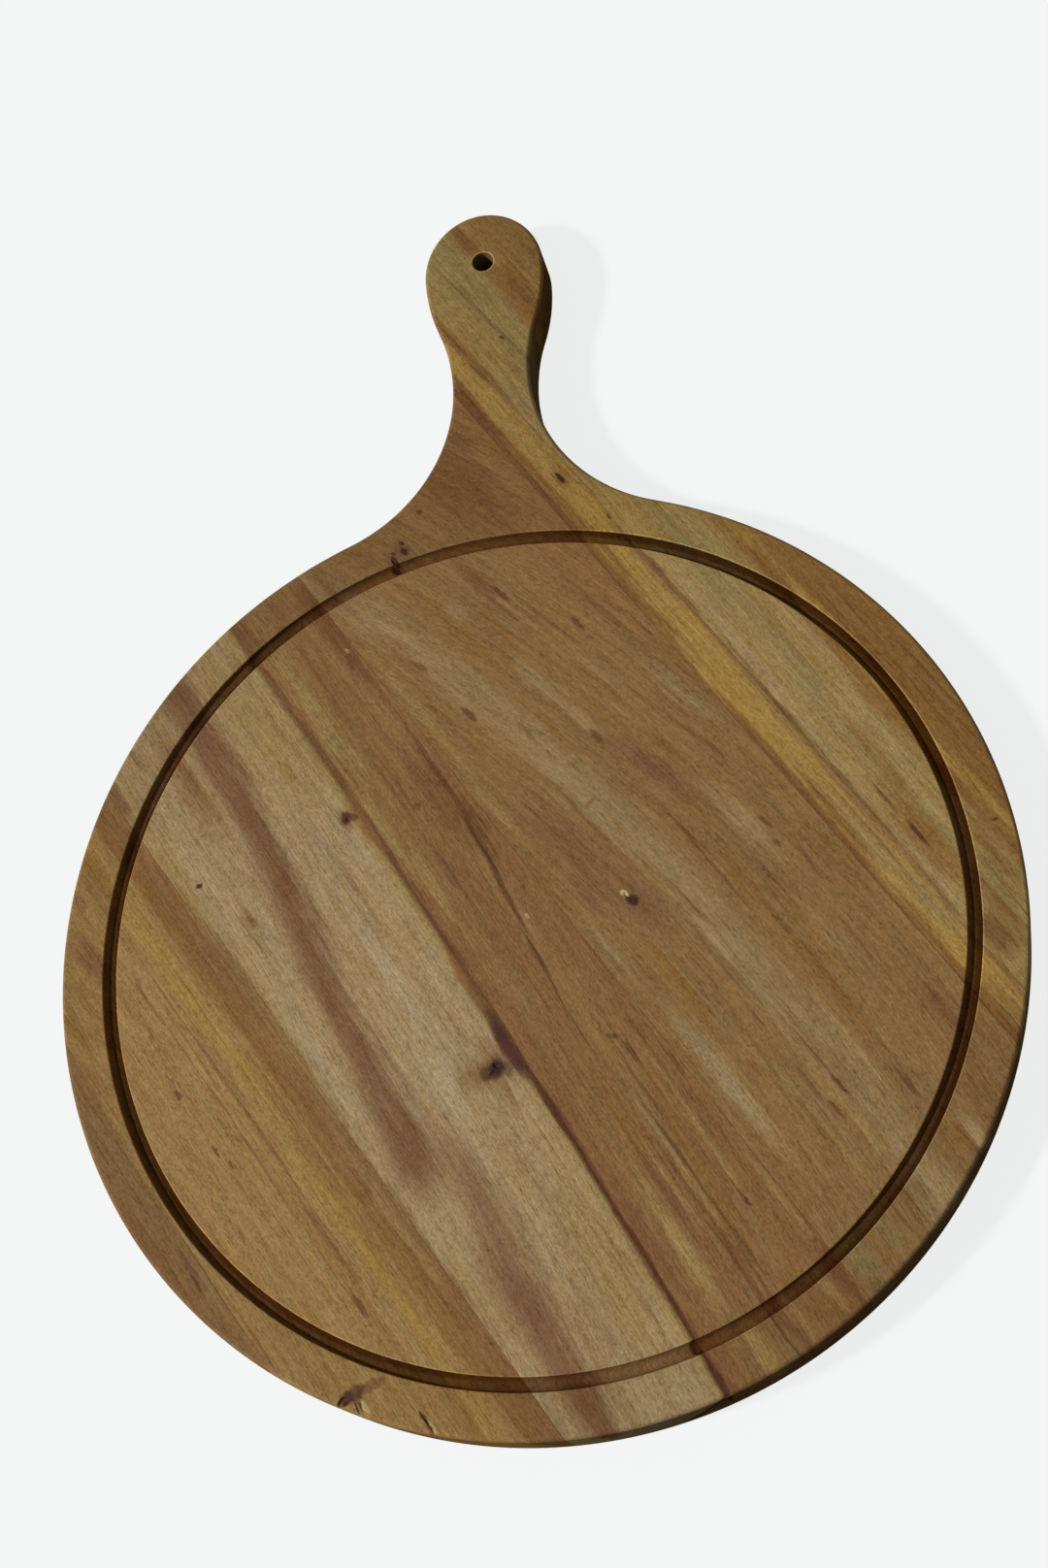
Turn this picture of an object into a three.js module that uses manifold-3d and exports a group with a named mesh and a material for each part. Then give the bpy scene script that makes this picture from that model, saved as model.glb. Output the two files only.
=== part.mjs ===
// A round serving board with a handle. Four hardwood staves are glued edge to edge, and the glued
// panel is then cut to one outline, routed with a juice groove, drilled with a hanging hole and
// eased along its edges. Millimetres, +Z up. The origin is the centre of the round on the
// underside, and +Y points along the handle.

import * as THREE from 'three';
import { mergeVertices } from 'three/addons/utils/BufferGeometryUtils.js';
import Module from 'manifold-3d';

// Panel
const ROUND_DIAMETER = 330;
const THICKNESS = 20;
const EDGE_RADIUS = 1.5;

// Handle, going out from the edge of the round
const ROUND_TO_NECK = 49.5;
const NECK_WIDTH = 29;
const NECK_TO_HEAD = 47;
const HEAD_WIDTH = 45.2;
const HEAD_TO_TIP = 25;

// Hanging hole
const HOLE_DIAMETER = 8;
const HOLE_TO_TIP = 21;
const HOLE_CHAMFER = 0.5;

// Juice groove, cut with a round-nosed bit
const RIM_WIDTH = 15;
const GROOVE_WIDTH = 4.9;
const GROOVE_DEPTH = 2.5;

// Staves: the joints are parallel and slant across the handle, and their places are measured
// square to the joints from the centre of the round
const GRAIN_ANGLE = 32.3;
const MIDDLE_JOINT = 14;
const UPPER_STAVE_WIDTH = 86.5;
const LOWER_STAVE_WIDTH = 101;
const GLUE_THICKNESS = 0.2;
const GLUE_CLEARANCE = 0.05;

// Finish
const OILED_WOOD = { roughness: 0.6, metalness: 0 };
const CURED_GLUE = { color: '#4a2f18', roughness: 0.5, metalness: 0 };

// Facets: the largest distance from a facet to the true curve, and the steps round an edge
const CHORD_ERROR = 0.05;
const EDGE_STEPS = 3;

// Every cutter runs past the face that it leaves by this much
const CUTTER_OVERRUN = 2;

// Worked out from the sizes above
const roundRadius = ROUND_DIAMETER / 2;
const neckY = roundRadius + ROUND_TO_NECK;
const headY = neckY + NECK_TO_HEAD;
const tipY = headY + HEAD_TO_TIP;
const holeY = tipY - HOLE_TO_TIP;
const panelReach = roundRadius + tipY;
const handleJoint = MIDDLE_JOINT + UPPER_STAVE_WIDTH;
const outerJoint = MIDDLE_JOINT - LOWER_STAVE_WIDTH;
const halfFilm = GLUE_THICKNESS / 2;
const halfGap = halfFilm + GLUE_CLEARANCE;

const wasm = await Module();
wasm.setup();

// A closed geometry as a solid that can be joined and cut
function solidOf(geometry) {
  geometry.deleteAttribute('normal');
  geometry.deleteAttribute('uv');
  const merged = mergeVertices(geometry);
  const mesh = new wasm.Mesh({
    numProp: 3,
    vertProperties: merged.attributes.position.array,
    triVerts: Uint32Array.from(merged.index.array),
  });
  return new wasm.Manifold(mesh);
}

// A solid as a named mesh with a material of its own
function meshOf(name, solid, finish) {
  const { vertProperties, triVerts } = solid.getMesh();
  const geometry = new THREE.BufferGeometry();
  geometry.setAttribute('position', new THREE.BufferAttribute(vertProperties, 3));
  geometry.setIndex(new THREE.BufferAttribute(triVerts, 1));
  geometry.computeVertexNormals();
  const mesh = new THREE.Mesh(geometry, new THREE.MeshStandardMaterial(finish));
  mesh.name = name;
  return mesh;
}

function facetAngle(radius) {
  return 2 * Math.acos(1 - CHORD_ERROR / radius);
}

// Points along a run of arcs that follow each other round a closed outline
function pointsAlong(arcs) {
  return arcs.flatMap((arc) => {
    const turn = Math.abs(arc.aEndAngle - arc.aStartAngle);
    const facets = Math.ceil(turn / facetAngle(Math.min(arc.xRadius, arc.yRadius)));
    return arc.getPoints(facets).slice(0, -1);
  });
}

function leftTurn(x, y, radius, from, to, radiusY = radius) {
  return new THREE.EllipseCurve(x, y, radius, radiusY, from, to, false);
}

function rightTurn(x, y, radius, from, to) {
  return new THREE.EllipseCurve(x, y, radius, radius, from, to, true);
}

// The outline, anticlockwise: the round, a hollow that sweeps out of it to the neck, a double
// curve of one radius that swells to the head, and an oval end. Neighbouring arcs are tangent.
function panelOutline() {
  const halfNeck = NECK_WIDTH / 2;
  const halfHead = HEAD_WIDTH / 2;
  const swell = halfHead - halfNeck;
  const hollowRadius = (neckY ** 2 + halfNeck ** 2 - roundRadius ** 2) / (2 * (roundRadius - halfNeck));
  const hollowX = halfNeck + hollowRadius;
  const hollowAngle = Math.atan2(neckY, hollowX);
  const swellRadius = (NECK_TO_HEAD ** 2 + swell ** 2) / (4 * swell);
  const swellAngle = Math.asin(NECK_TO_HEAD / 2 / swellRadius);
  const inX = halfNeck + swellRadius;
  const outX = halfHead - swellRadius;
  const halfTurn = Math.PI;
  return new THREE.Shape(pointsAlong([
    leftTurn(0, 0, roundRadius, halfTurn - hollowAngle, 2 * halfTurn + hollowAngle),
    rightTurn(hollowX, neckY, hollowRadius, halfTurn + hollowAngle, halfTurn),
    rightTurn(inX, neckY, swellRadius, halfTurn, halfTurn - swellAngle),
    leftTurn(outX, headY, swellRadius, -swellAngle, 0),
    leftTurn(0, headY, halfHead, 0, halfTurn, HEAD_TO_TIP),
    leftTurn(-outX, headY, swellRadius, halfTurn, halfTurn + swellAngle),
    rightTurn(-inX, neckY, swellRadius, swellAngle, 0),
    rightTurn(-hollowX, neckY, hollowRadius, 0, -hollowAngle),
  ]));
}

// The glued panel cut to its outline, with rounded edges on both faces
function panelBlank() {
  const blank = new THREE.ExtrudeGeometry(panelOutline(), {
    depth: THICKNESS - 2 * EDGE_RADIUS,
    bevelThickness: EDGE_RADIUS,
    bevelSize: EDGE_RADIUS,
    bevelOffset: -EDGE_RADIUS,
    bevelSegments: EDGE_STEPS,
  });
  return solidOf(blank.translate(0, 0, EDGE_RADIUS));
}

// A profile of distance from the axis and height, turned about an upright axis
function turned(profile, facets) {
  return new THREE.LatheGeometry(profile, facets).rotateX(Math.PI / 2);
}

// The ring that the bit sweeps out, with its round nose down in the top face
function grooveCutter() {
  const outer = roundRadius - RIM_WIDTH;
  const middle = outer - GROOVE_WIDTH / 2;
  const inner = outer - GROOVE_WIDTH;
  const nose = leftTurn(middle, THICKNESS, GROOVE_WIDTH / 2, Math.PI, 2 * Math.PI, GROOVE_DEPTH);
  const profile = [
    ...pointsAlong([nose]),
    new THREE.Vector2(outer, THICKNESS),
    new THREE.Vector2(outer, THICKNESS + CUTTER_OVERRUN),
    new THREE.Vector2(inner, THICKNESS + CUTTER_OVERRUN),
    new THREE.Vector2(inner, THICKNESS),
  ];
  return solidOf(turned(profile, Math.ceil(2 * Math.PI / facetAngle(outer))));
}

// The drill, with a chamfer at both faces
function holeCutter() {
  const radius = HOLE_DIAMETER / 2;
  const mouth = radius + HOLE_CHAMFER + CUTTER_OVERRUN;
  const profile = [
    new THREE.Vector2(0, -CUTTER_OVERRUN),
    new THREE.Vector2(mouth, -CUTTER_OVERRUN),
    new THREE.Vector2(radius, HOLE_CHAMFER),
    new THREE.Vector2(radius, THICKNESS - HOLE_CHAMFER),
    new THREE.Vector2(mouth, THICKNESS + CUTTER_OVERRUN),
    new THREE.Vector2(0, THICKNESS + CUTTER_OVERRUN),
  ];
  const drill = turned(profile, Math.ceil(2 * Math.PI / facetAngle(radius)));
  return solidOf(drill.translate(0, holeY, 0));
}

// A straight board across the whole panel, between two places measured square to the joints
function board(low, high) {
  const box = new THREE.BoxGeometry(high - low, 2 * panelReach, THICKNESS + 2 * CUTTER_OVERRUN);
  box.translate((low + high) / 2, 0, THICKNESS / 2);
  return solidOf(box.rotateZ(THREE.MathUtils.degToRad(GRAIN_ANGLE)));
}

const panel = panelBlank().subtract(grooveCutter()).subtract(holeCutter());

const staves = [
  { name: 'handle_stave', low: handleJoint, high: panelReach, color: '#876c3d' },
  { name: 'upper_stave', low: MIDDLE_JOINT, high: handleJoint, color: '#7d613c' },
  { name: 'lower_stave', low: outerJoint, high: MIDDLE_JOINT, color: '#836744' },
  { name: 'outer_stave', low: -panelReach, high: outerJoint, color: '#88693c' },
];

const glueLines = [
  { name: 'handle_glue_line', at: handleJoint },
  { name: 'middle_glue_line', at: MIDDLE_JOINT },
  { name: 'outer_glue_line', at: outerJoint },
];

const servingBoard = new THREE.Group();

for (const { name, low, high, color } of staves) {
  const wood = panel.intersect(board(low + halfGap, high - halfGap));
  servingBoard.add(meshOf(name, wood, { ...OILED_WOOD, color }));
}

for (const { name, at } of glueLines) {
  const film = panel.intersect(board(at - halfFilm, at + halfFilm));
  servingBoard.add(meshOf(name, film, CURED_GLUE));
}

export default servingBoard;
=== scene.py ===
"""A paddle-shaped serving board of edge-glued staves, modelled and finished over its packed construction."""

import math
from collections import namedtuple

import bmesh
import bpy
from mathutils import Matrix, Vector


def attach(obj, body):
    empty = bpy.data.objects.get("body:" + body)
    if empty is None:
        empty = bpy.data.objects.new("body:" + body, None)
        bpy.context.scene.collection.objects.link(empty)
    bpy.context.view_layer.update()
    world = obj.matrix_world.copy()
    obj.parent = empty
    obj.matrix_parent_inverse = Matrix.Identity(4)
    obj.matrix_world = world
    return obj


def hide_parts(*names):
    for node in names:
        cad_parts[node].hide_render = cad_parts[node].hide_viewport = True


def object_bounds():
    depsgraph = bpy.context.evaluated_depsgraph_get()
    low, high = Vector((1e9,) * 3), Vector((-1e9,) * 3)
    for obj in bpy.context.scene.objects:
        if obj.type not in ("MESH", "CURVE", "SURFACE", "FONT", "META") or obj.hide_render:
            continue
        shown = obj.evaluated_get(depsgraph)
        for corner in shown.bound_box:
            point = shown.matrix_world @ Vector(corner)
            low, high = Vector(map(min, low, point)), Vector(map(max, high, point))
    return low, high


bl_info = {
    "name": "Serving Board",
    "version": (1, 0, 0),
    "blender": (4, 5, 0),
    "location": "View3D > Sidebar > Serving Board",
    "description": "Models and finishes a round serving board of edge-glued staves with a handle",
    "category": "Object",
}

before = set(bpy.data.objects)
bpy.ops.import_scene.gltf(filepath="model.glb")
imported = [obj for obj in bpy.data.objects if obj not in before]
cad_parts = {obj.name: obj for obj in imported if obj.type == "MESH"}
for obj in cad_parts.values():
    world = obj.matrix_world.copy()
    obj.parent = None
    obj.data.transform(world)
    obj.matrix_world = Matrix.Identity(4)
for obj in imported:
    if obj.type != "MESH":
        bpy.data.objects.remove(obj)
cad_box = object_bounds()

MM = 0.001

# The largest distance from a facet to the true curve
CHORD_ERROR = 0.008 * MM


def linear(hex_colour):
    """Turns an sRGB hex value into the linear colour that a shader takes."""
    channels = [int(hex_colour[i:i + 2], 16) / 255 for i in (1, 3, 5)]
    return tuple(c / 12.92 if c <= 0.04045 else ((c + 0.055) / 1.055) ** 2.4 for c in channels)


def length(name, description, millimetres):
    """A length in the sidebar, given in millimetres."""
    return bpy.props.FloatProperty(
        name=name, description=description, default=millimetres * MM, precision=5, unit="LENGTH")


def tint(name, description, hex_colour):
    """A wood or glue colour in the sidebar, given as an sRGB hex value."""
    return bpy.props.FloatVectorProperty(
        name=name, description=description, default=linear(hex_colour), size=3, min=0, max=1, subtype="COLOR")


class ServingBoardSizes(bpy.types.PropertyGroup):
    """The sizes that the board is made to."""

    round_radius: length("Round radius", "Half the width of the round", cad_box[1].x / MM)
    thickness: length("Thickness", "Thickness of the panel", cad_box[1].z / MM)
    edge_radius: length("Edge radius", "Rounding of the outer edges", 1.5)
    round_to_neck: length("Round to neck", "Edge of the round to the narrowest place of the handle", 49.5)
    neck_width: length("Neck width", "Narrowest width of the handle", 29)
    neck_to_head: length("Neck to head", "Narrowest to widest place of the handle", 47)
    head_width: length("Head width", "Widest width of the handle", 45.2)
    head_to_tip: length("Head to tip", "Widest place of the handle to its end", 25)
    hole_diameter: length("Hole diameter", "Diameter of the hanging hole", 8)
    hole_to_tip: length("Hole to tip", "Centre of the hole to the end of the handle", 21)
    hole_ease: length("Hole ease", "Rounding of the hole's mouth", 0.5)
    rim_width: length("Rim width", "Edge of the round to the groove", 15)
    groove_width: length("Groove width", "Width of the juice groove", 4.9)
    groove_depth: length("Groove depth", "Depth of the juice groove", 2.5)
    groove_ease: length("Groove ease", "Rounding of the groove's lips", 0.45)
    middle_joint: length("Middle joint", "Centre of the round to the middle glue joint", 14)
    upper_stave_width: length("Upper stave width", "Width of the stave above the middle joint", 86.5)
    lower_stave_width: length("Lower stave width", "Width of the stave below the middle joint", 101)
    glue_thickness: length("Glue thickness", "Thickness of a glue line", 0.1)
    grain_angle: bpy.props.FloatProperty(
        name="Grain angle", description="Turn of the staves away from the handle's axis",
        default=math.radians(32.3), subtype="ANGLE", unit="ROTATION")


class ServingBoardTints(bpy.types.PropertyGroup):
    """The colours of the oiled wood and of the glue."""

    gold: tint("Gold sapwood", "Bright yellow stripe beside the handle joint", "#94763d")
    honey: tint("Honey sapwood", "Warm light wood of the outer stave", "#8f7042")
    tan: tint("Tan sapwood", "Light wood between the streaks", "#8c7446")
    pale: tint("Pale sapwood", "Greyish pale wood below the dark vein", "#957d58")
    bright: tint("Bright sapwood", "The palest patches of the wood", "#a08b68")
    olive: tint("Olive sapwood", "Dull greenish wood of the handle's head", "#806f45")
    grey: tint("Grey heartwood", "Faded streaks in the brown wood", "#866e49")
    amber: tint("Amber heartwood", "Orange-brown streaks", "#7a592e")
    brown: tint("Brown heartwood", "Common brown of the wood", "#7c5f39")
    red: tint("Red heartwood", "Reddish brown of the wood", "#7a5834")
    dark: tint("Dark heartwood", "Darker brown streaks", "#694829")
    smoke: tint("Smoky heartwood", "Purplish brown clouds", "#6d4c32")
    line: tint("Grain line", "Thin dark lines along the grain", "#563a1f")
    vein: tint("Vein", "Line where heartwood meets sapwood", "#482714")
    stain: tint("Knot stain", "Purple stain beside a knot", "#43241f")
    # Also used for the painted shade in the hole's bore
    knot: tint("Knot", "Core of a knot", "#331b15")
    # Also used for painted glints and for the painted highlight round the hole's mouth
    splinter: tint("Splinter", "Fresh pale wood where a flake came off", "#b29c70")
    glue: tint("Glue", "Cured wood glue", "#4a2f18")


# Places on the board are given along the grain (s, to the lower right) and across it (q, to the
# handle), in millimetres from the centre of the round. A streak is a soft oval of one tint, with its length
# and width in millimetres and its tilt in degrees.
Streak = namedtuple("Streak", "s q length width tilt tint strength")

# What one stave's wood looks like: bands are places across the grain with their tints, flow is how
# the grain drifts across (per mm and per mm squared along it), and rings is the slope of the growth
# rings through the thickness. Vein is the place of a dark line that parts heartwood from sapwood. The
# streaks are rows of the values of a Streak, laid in this order.
Figure = namedtuple("Figure", "bands flow rings streaks seed vein", defaults=(None,))

HANDLE_FIGURE = Figure(
    seed=3.0,
    flow=(0.0, 0.0),
    rings=0.5,
    bands=[
        (100, "dark"), (103, "amber"), (106, "gold"), (111.6, "gold"), (113.8, "brown"), (116, "tan"),
        (122, "tan"), (128, "olive"), (133, "tan"), (138, "tan"), (142, "amber"), (146, "gold"),
        (151, "amber"), (157, "amber"), (165, "amber"),
    ],
    streaks=[
        # The head, from the hole down to the neck
        (-215, 156, 90, 18, 0, "olive", 0.5), (-212, 158, 70, 12, 0, "dark", 0.5),
        (-206, 145.5, 50, 6, -5, "amber", 0.95), (-204, 145, 34, 3.6, -5, "dark", 0.6),
        (-234, 148, 44, 10, 0, "brown", 0.9), (-236, 142.5, 22, 13, 0, "dark", 0.85),
        (-215, 135, 90, 14, 2, "olive", 0.9), (-208, 137, 36, 7, 0, "grey", 0.5),
        (-206, 128.5, 84, 2.4, 2.5, "dark", 0.55), (-192.5, 128.3, 2.8, 2.2, 30, "vein", 0.85),
        (-205, 122, 70, 8, 1, "tan", 0.7), (-192, 114.5, 80, 6, 0, "amber", 0.7),
        (-186, 112.4, 18, 1.7, 2, "line", 0.8), (-205, 113, 30, 1.6, 0, "line", 0.4),
        # The neck and the fillet
        (-145, 101.6, 110, 3.4, 0, "dark", 0.9), (-160, 109.5, 110, 14, 0, "tan", 0.6),
        (-150, 123, 60, 8, 0, "tan", 0.6), (-132, 116.6, 60, 2.2, 1, "dark", 0.45),
        (-130.7, 109.7, 16, 6, 0, "amber", 0.7), (-130.7, 109.7, 7, 2.8, 0, "knot", 0.95),
        (-112, 122, 90, 22, 0, "gold", 0.45), (-106.5, 113.8, 4, 1.5, 0, "vein", 0.7),
        # The round, from the joint to the rim
        (-50, 107.5, 200, 4.5, 0, "gold", 0.8), (45, 108, 120, 10, 0, "tan", 0.8),
        (30, 107, 60, 1.8, 0, "line", 0.35), (30, 105.5, 70, 1.8, 0, "line", 0.4),
        (42, 110, 60, 1.6, 0, "line", 0.4), (78, 109, 34, 8, 0, "tan", 0.8),
        (-70, 114.2, 80, 2.4, 1, "dark", 0.7), (-80, 115, 16, 2, 0, "line", 0.6),
        (20, 114.5, 90, 2, 0, "line", 0.55), (-10, 115, 24, 2.4, 0, "dark", 0.6),
        (-20, 114.8, 80, 2, 0, "line", 0.55), (-35, 119.5, 140, 5, 0, "pale", 0.4),
        (64, 117.5, 40, 5, 0, "pale", 0.6), (-20, 128, 130, 8, 0, "tan", 0.6),
        (-50, 133, 60, 2, 1, "dark", 0.35), (-25, 139, 60, 4, 3, "pale", 0.4),
        (20, 134, 60, 3, -2, "pale", 0.35), (-10, 131, 50, 1.8, -2, "brown", 0.6),
        (28, 129, 64, 9, -1, "amber", 0.7), (58, 122.5, 70, 15, -1, "amber", 0.95),
        (56, 121.4, 16, 2.2, -2, "vein", 0.85), (40, 121, 20, 1.6, 0, "line", 0.6),
        (35, 143, 60, 6, -3, "amber", 0.9), (-62, 146, 70, 9, 8, "amber", 0.45),
        (-62, 145, 60, 4, 8, "gold", 0.5), (-20, 152, 60, 2, 1, "dark", 0.5),
        (20, 158, 120, 14, -1, "amber", 0.6), (-5, 150, 70, 1.3, 1, "line", 0.5),
        (30, 153.5, 70, 1.2, -1, "line", 0.5), (45, 146.5, 50, 1.2, -3, "line", 0.5),
        (15, 160, 60, 1.6, 0, "line", 0.6), (-20, 156, 40, 1.3, 0, "line", 0.5),
        (55, 149, 40, 3, -3, "dark", 0.5), (75, 136, 50, 8, -4, "amber", 0.6),
        (96, 126, 50, 12, -3, "amber", 0.75), (90, 131, 40, 1.3, -3, "line", 0.5),
        (125, 107, 50, 9, 0, "amber", 0.7), (122, 109.5, 30, 1.4, 0, "bright", 0.5),
        (124, 105, 30, 1.2, 0, "bright", 0.4), (126, 102.5, 24, 1.2, 0, "line", 0.5),
        (68, 143.5, 1.9, 1.9, 0, "stain", 0.9), (98, 119, 24, 9, 0, "dark", 0.7),
        (88, 128, 40, 4, 0, "dark", 0.5),
    ])

UPPER_FIGURE = Figure(
    seed=11.0,
    flow=(0.1, -0.0007),
    rings=-0.7,
    bands=[
        (8, "brown"), (26, "brown"), (40, "brown"), (50, "grey"), (60, "brown"), (72, "brown"),
        (84, "brown"), (96, "brown"), (112, "red"), (140, "red"),
    ],
    streaks=[
        # The end that runs into the handle's fillet
        (-158, 80, 100, 56, 4, "dark", 0.6), (-162, 38, 50, 40, 4, "dark", 0.4),
        (-150, 95, 60, 7, 2, "brown", 0.7), (-140, 84, 60, 5, 3, "line", 0.35),
        (-150, 72, 40, 3, 4, "line", 0.25), (-154.5, 63, 2.8, 2.6, 0, "stain", 0.7),
        (-150, 20, 40, 3, 6, "line", 0.35),
        # Between the groove and the middle of the round
        (-112, 63, 50, 4.6, 8, "dark", 0.75), (-98, 58, 40, 6, 6, "amber", 0.75),
        (-98, 47, 56, 6, 5, "amber", 0.7), (-120, 44, 40, 4, 6, "amber", 0.5),
        (-112, 50.5, 12, 7, 10, "grey", 0.7), (-72, 57, 46, 8, 6, "grey", 0.8),
        (-88, 38.5, 60, 9, 5, "grey", 0.85), (-70, 45, 30, 3, 4, "grey", 0.6),
        (-110, 26, 40, 8, 4, "red", 0.7), (-104, 28, 10, 3, 20, "dark", 0.6),
        (-130, 31, 36, 8, 5, "grey", 0.5), (-80, 24, 50, 3, 4, "dark", 0.35),
        (-95, 18, 90, 5, 2, "tan", 0.5), (-80, 90, 60, 3, 8, "line", 0.35),
        (-66, 97, 24, 1.6, 3, "line", 0.6), (-80.5, 80.5, 10, 2, 4, "line", 0.75),
        (-90, 73, 50, 2, 10, "line", 0.35), (-60, 76, 50, 4, 8, "grey", 0.35),
        (-108, 66.5, 13, 2.4, 10, "line", 0.9), (-92, 70, 26, 2, 12, "line", 0.35),
        (-77.5, 31, 11, 3, 8, "line", 0.8), (-60, 42.5, 14, 3.4, 5, "line", 0.4),
        # The middle of the round
        (-34, 92, 44, 8, 9, "grey", 0.7), (-12, 88.5, 18, 3.4, 10, "dark", 0.75),
        (-28, 85, 34, 1.8, 10, "line", 0.5), (-45, 68, 40, 6, 8, "amber", 0.5),
        (15, 81, 60, 11, 4, "pale", 0.55), (20, 85.5, 9, 2.2, 12, "line", 0.7),
        (28.5, 84, 6, 2.2, 8, "line", 0.7), (33, 75, 2.2, 2, 0, "vein", 0.6),
        (40, 75.4, 40, 1.5, 1, "line", 0.5), (5, 74, 40, 1.8, 5, "line", 0.35),
        (42, 93, 50, 12, 0, "red", 0.85), (40, 88, 24, 2, -6, "line", 0.4),
        (-20, 69, 50, 15, 12, "smoke", 0.95), (-22, 76, 34, 8, 12, "red", 0.7),
        (-5, 70, 16, 4, 3, "dark", 0.6), (-52, 59.5, 28, 8, 6, "pale", 0.5),
        (-41.5, 60.4, 10, 3.2, 4, "line", 0.8), (-36, 62.5, 16, 3, 12, "smoke", 0.5),
        (-50, 50, 30, 6, 5, "amber", 0.7), (15, 62.6, 76, 1.6, 1, "line", 0.55),
        (35, 66, 50, 4, 1, "amber", 0.7), (15, 53.5, 60, 7, 3, "grey", 0.75),
        (24, 48.3, 40, 1.6, 2, "line", 0.5), (42, 48, 30, 5, 2, "pale", 0.6),
        (50, 44, 40, 1.6, 0, "line", 0.5), (-23.5, 44, 3, 7, 20, "dark", 0.55),
        (-20, 39.5, 50, 1.8, 3, "line", 0.45), (-15, 30, 76, 24, 10, "smoke", 0.7),
        (2, 25.5, 26, 8, 0, "smoke", 0.7), (5, 42, 40, 3, 4, "dark", 0.35),
        (14, 36, 44, 18, 8, "smoke", 0.65), (6, 34.2, 8, 3.4, 0, "amber", 0.8),
        # The pale fleck beside this knot is fresh wood in a chip, with a painted glint on it
        (13.6, 34.7, 6.4, 4.6, 15, "knot", 0.95), (9.8, 34, 4.2, 2.4, 20, "splinter", 0.85),
        (40, 30.5, 40, 6, 1, "amber", 0.9), (22, 19, 40, 5, 1, "grey", 0.85),
        (-50, 18, 50, 5, 2, "tan", 0.45),
        # From the middle to the groove and the rim
        (82, 66.5, 80, 5, 0, "amber", 0.8), (75, 68, 30, 2.6, 0, "dark", 0.5),
        (118, 66, 18, 3, 0, "line", 0.75), (95, 86, 90, 13, 0, "red", 0.7),
        (108, 90, 34, 8, 0, "dark", 0.7), (70, 84, 40, 2.4, -2, "dark", 0.5),
        (62, 78, 40, 5, 0, "grey", 0.6), (100, 57.5, 80, 10, 0, "grey", 0.85),
        (95, 61, 50, 3, 0, "pale", 0.5), (70, 55, 40, 4, 4, "dark", 0.25),
        (95, 48.9, 46, 1.6, 1.5, "line", 0.6), (105, 48.8, 10, 2, 3, "vein", 0.7),
        (111, 43.2, 10, 2.2, 2, "line", 0.8), (98, 41.6, 30, 1.6, -2, "line", 0.45),
        (72, 42, 10, 1.8, 6, "line", 0.6), (54, 30, 34, 6, 0, "amber", 0.9),
        (86, 31.5, 20, 5, 0, "amber", 0.9), (84, 31, 10, 3, 0, "dark", 0.5),
        (84, 22, 90, 13, 1, "pale", 0.85), (105, 26, 80, 3, 1, "amber", 0.6),
        (110, 36, 80, 5, 1, "tan", 0.6), (115, 46, 60, 4, 0, "tan", 0.5),
        (100, 52.5, 60, 3, 1, "amber", 0.5), (115, 30, 60, 8, 0, "brown", 0.6),
        (146, 74, 28, 6, 0, "pale", 0.8), (149, 54, 32, 16, 0, "pale", 0.75),
        (152, 20, 30, 9, 0, "olive", 0.8), (150, 31, 30, 8, 0, "olive", 0.5),
        (148, 38, 26, 1.5, 0, "line", 0.6), (148, 43, 26, 1.5, 0, "line", 0.6),
        (147, 69, 26, 1.6, 0, "line", 0.6), (142, 68, 24, 2.6, 2, "amber", 0.7),
        # The two knots by the groove
        (-146, 49.7, 13, 7, 5, "smoke", 0.8), (-145.4, 49.5, 5.5, 2.8, 12, "knot", 0.95),
        (-148.4, 50.8, 3, 2, 30, "knot", 0.85), (-143.5, 44, 16, 7, 0, "smoke", 0.8),
        (-144.6, 44.8, 6, 2.6, -10, "knot", 0.95), (-141.6, 43, 5.4, 2.8, 25, "knot", 0.9),
        (-147, 46.2, 3.4, 1.8, 40, "stain", 0.85), (-155, 20, 56, 14, 3, "dark", 0.5),
    ])

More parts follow.
